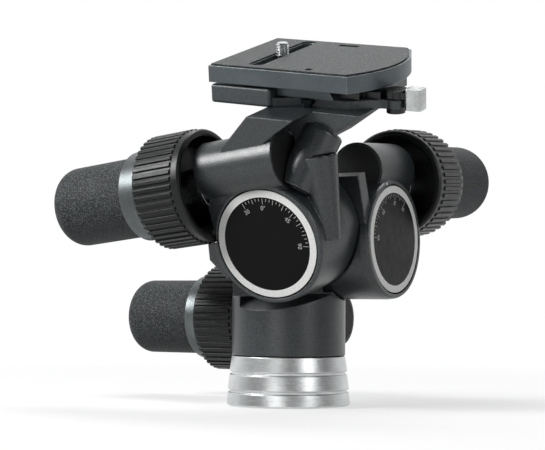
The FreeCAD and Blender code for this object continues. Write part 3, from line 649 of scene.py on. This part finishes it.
# Name, place, what it faces, width and height, and watts of each lamp
LAMPS = [
    ("key", (-0.55, -0.68, 0.6), OBJECT_MIDDLE, (0.36, 0.36), 10.5),
    ("fill", (0.95, -0.35, 0.4), OBJECT_MIDDLE, (0.35, 0.6), 2.6),
    ("top", (-0.05, 0.3, 0.85), (0, 0, 0.1), (0.6, 0.3), 4.0),
    ("front", (0.1, -1.1, 0.12), OBJECT_MIDDLE, (0.5, 0.3), 1.2),
]


def soft_lamp(name, place, target, size, power):
    light = bpy.data.lights.new(name, "AREA")
    light.shape = "RECTANGLE"
    light.size, light.size_y = size
    light.energy = power
    lamp = bpy.data.objects.new(name, light)
    lamp.location = place
    lamp.rotation_mode = "QUATERNION"
    lamp.rotation_quaternion = (Vector(target) - Vector(place)).to_track_quat("-Z", "Y")
    bpy.context.scene.collection.objects.link(lamp)


def mixed_shader(tree, factor, first, second):
    """The first shader where the factor is 0 and the second where it is 1."""
    mix = fed(tree.nodes.new("ShaderNodeMixShader"), {0: factor, 1: first, 2: second})
    return mix.outputs[0]


def background(tree, tint, strength):
    node = fed(tree.nodes.new("ShaderNodeBackground"), {"Color": tint, "Strength": strength})
    return node.outputs[0]


def shown_as_background(tree):
    """1 where the camera, a reflection or clear material looks straight at this surface."""
    rays = tree.nodes.new("ShaderNodeLightPath").outputs
    total = rays["Is Camera Ray"]
    for ray in ("Is Glossy Ray", "Is Transmission Ray"):
        larger = tree.nodes.new("ShaderNodeMath")
        larger.operation = "MAXIMUM"
        total = fed(larger, {0: total, 1: rays[ray]}).outputs[0]
    return total


def paper_white(material):
    """The camera sees the paper as white with the shadow kept, fading to plain white away from
    the object. The light that it throws back on the object is that of a mid grey sheet."""
    tree = material.node_tree
    place = tree.nodes.new("ShaderNodeTexCoord").outputs["Object"]
    away = tree.nodes.new("ShaderNodeVectorMath")
    away.operation = "LENGTH"
    fed(away, {0: place})
    fade = fed(tree.nodes.new("ShaderNodeMapRange"),
               {"From Min": 0.12, "From Max": 0.5, "To Min": 0.42, "To Max": 0.0,
                "Value": away.outputs["Value"]})
    glow = fed(tree.nodes.new("ShaderNodeEmission"), {"Strength": 1.0})
    paper = mixed_shader(tree, fade.outputs["Result"], glow.outputs[0],
                         tree.nodes["Principled BSDF"].outputs[0])
    grey = fed(tree.nodes.new("ShaderNodeBsdfDiffuse"), {"Color": (0.2, 0.2, 0.2, 1)})
    choice = mixed_shader(tree, shown_as_background(tree), grey.outputs[0], paper)
    fed(tree.nodes["Material Output"], {"Surface": choice})


def make_floor():
    """A wide sheet of paper just under the object's base."""
    size, sunk = 3.0, 0.0004
    corners = [(-size, -size, 0), (size, -size, 0), (size, size, 0), (-size, size, 0)]
    mesh = bpy.data.meshes.new("studio_floor")
    mesh.from_pydata(corners, [], [(0, 1, 2, 3)])
    floor = bpy.data.objects.new("studio_floor", mesh)
    bpy.context.scene.collection.objects.link(floor)
    floor.location.z = -sunk
    material = bpy.data.materials.new("floor_paper")
    material.use_nodes = True
    fed(material.node_tree.nodes["Principled BSDF"],
        {"Base Color": (0.9, 0.9, 0.9, 1), "Roughness": 0.9, "Specular IOR Level": 0.1})
    mesh.materials.append(material)
    paper_white(material)


def studio_walls(tree):
    """What polished parts mirror: the white sweep behind the object and a dark room in front,
    from the dot product of the direction with the way back from the camera."""
    away = tree.nodes.new("ShaderNodeVectorMath")
    away.operation = "DOT_PRODUCT"
    fed(away, {0: tree.nodes.new("ShaderNodeTexCoord").outputs["Generated"],
               1: (-0.51, 0.86, 0)})
    wall = tree.nodes.new("ShaderNodeMapRange")
    wall.interpolation_type = "SMOOTHSTEP"
    fed(wall, {"From Min": -0.35, "From Max": 0.6, "To Min": 0.02, "To Max": 1.0,
               "Value": away.outputs["Value"]})
    return wall.outputs["Result"]


def make_world():
    """White where it is seen, the studio's walls in reflections, and a faint light besides."""
    world = bpy.data.worlds.new("studio")
    bpy.context.scene.world = world
    world.use_nodes = True
    tree = world.node_tree
    tree.nodes.clear()
    seen = background(tree, (1, 1, 1, 1), 1.0)
    lit = background(tree, (0.95, 0.97, 1, 1), 0.13)
    mirrored = background(tree, studio_walls(tree), 1.0)
    reflected = tree.nodes.new("ShaderNodeLightPath").outputs["Is Glossy Ray"]
    shown = mixed_shader(tree, reflected, seen, mirrored)
    surface = mixed_shader(tree, shown_as_background(tree), lit, shown)
    fed(tree.nodes.new("ShaderNodeOutputWorld"), {"Surface": surface})


def make_camera():
    """The photograph's viewpoint: degrees round from the front, up and rolled, and its place."""
    azimuth, elevation, roll = (math.radians(x) for x in (30.7387, -2.8147, 0.3908))
    place, lens, sensor_width = (0.3764, -0.6491, 0.0506), 101.22, 36
    back = Vector((math.sin(azimuth) * math.cos(elevation),
                   -math.cos(azimuth) * math.cos(elevation), math.sin(elevation)))
    right = Vector((math.cos(azimuth), math.sin(azimuth), 0))
    up = back.cross(right)
    side = math.cos(roll) * right + math.sin(roll) * up
    top = -math.sin(roll) * right + math.cos(roll) * up
    data = bpy.data.cameras.new("camera")
    data.sensor_width = sensor_width
    data.lens = lens
    data.clip_start, data.clip_end = 0.05, 20
    camera = bpy.data.objects.new("camera", data)
    bpy.context.scene.collection.objects.link(camera)
    turn = Matrix((side, top, back)).transposed().to_4x4()
    camera.matrix_world = Matrix.Translation(place) @ turn
    bpy.context.scene.camera = camera


make_floor()
make_world()
make_camera()
for lamp in LAMPS:
    soft_lamp(*lamp)
scene = bpy.context.scene
scene.view_settings.view_transform = "Standard"
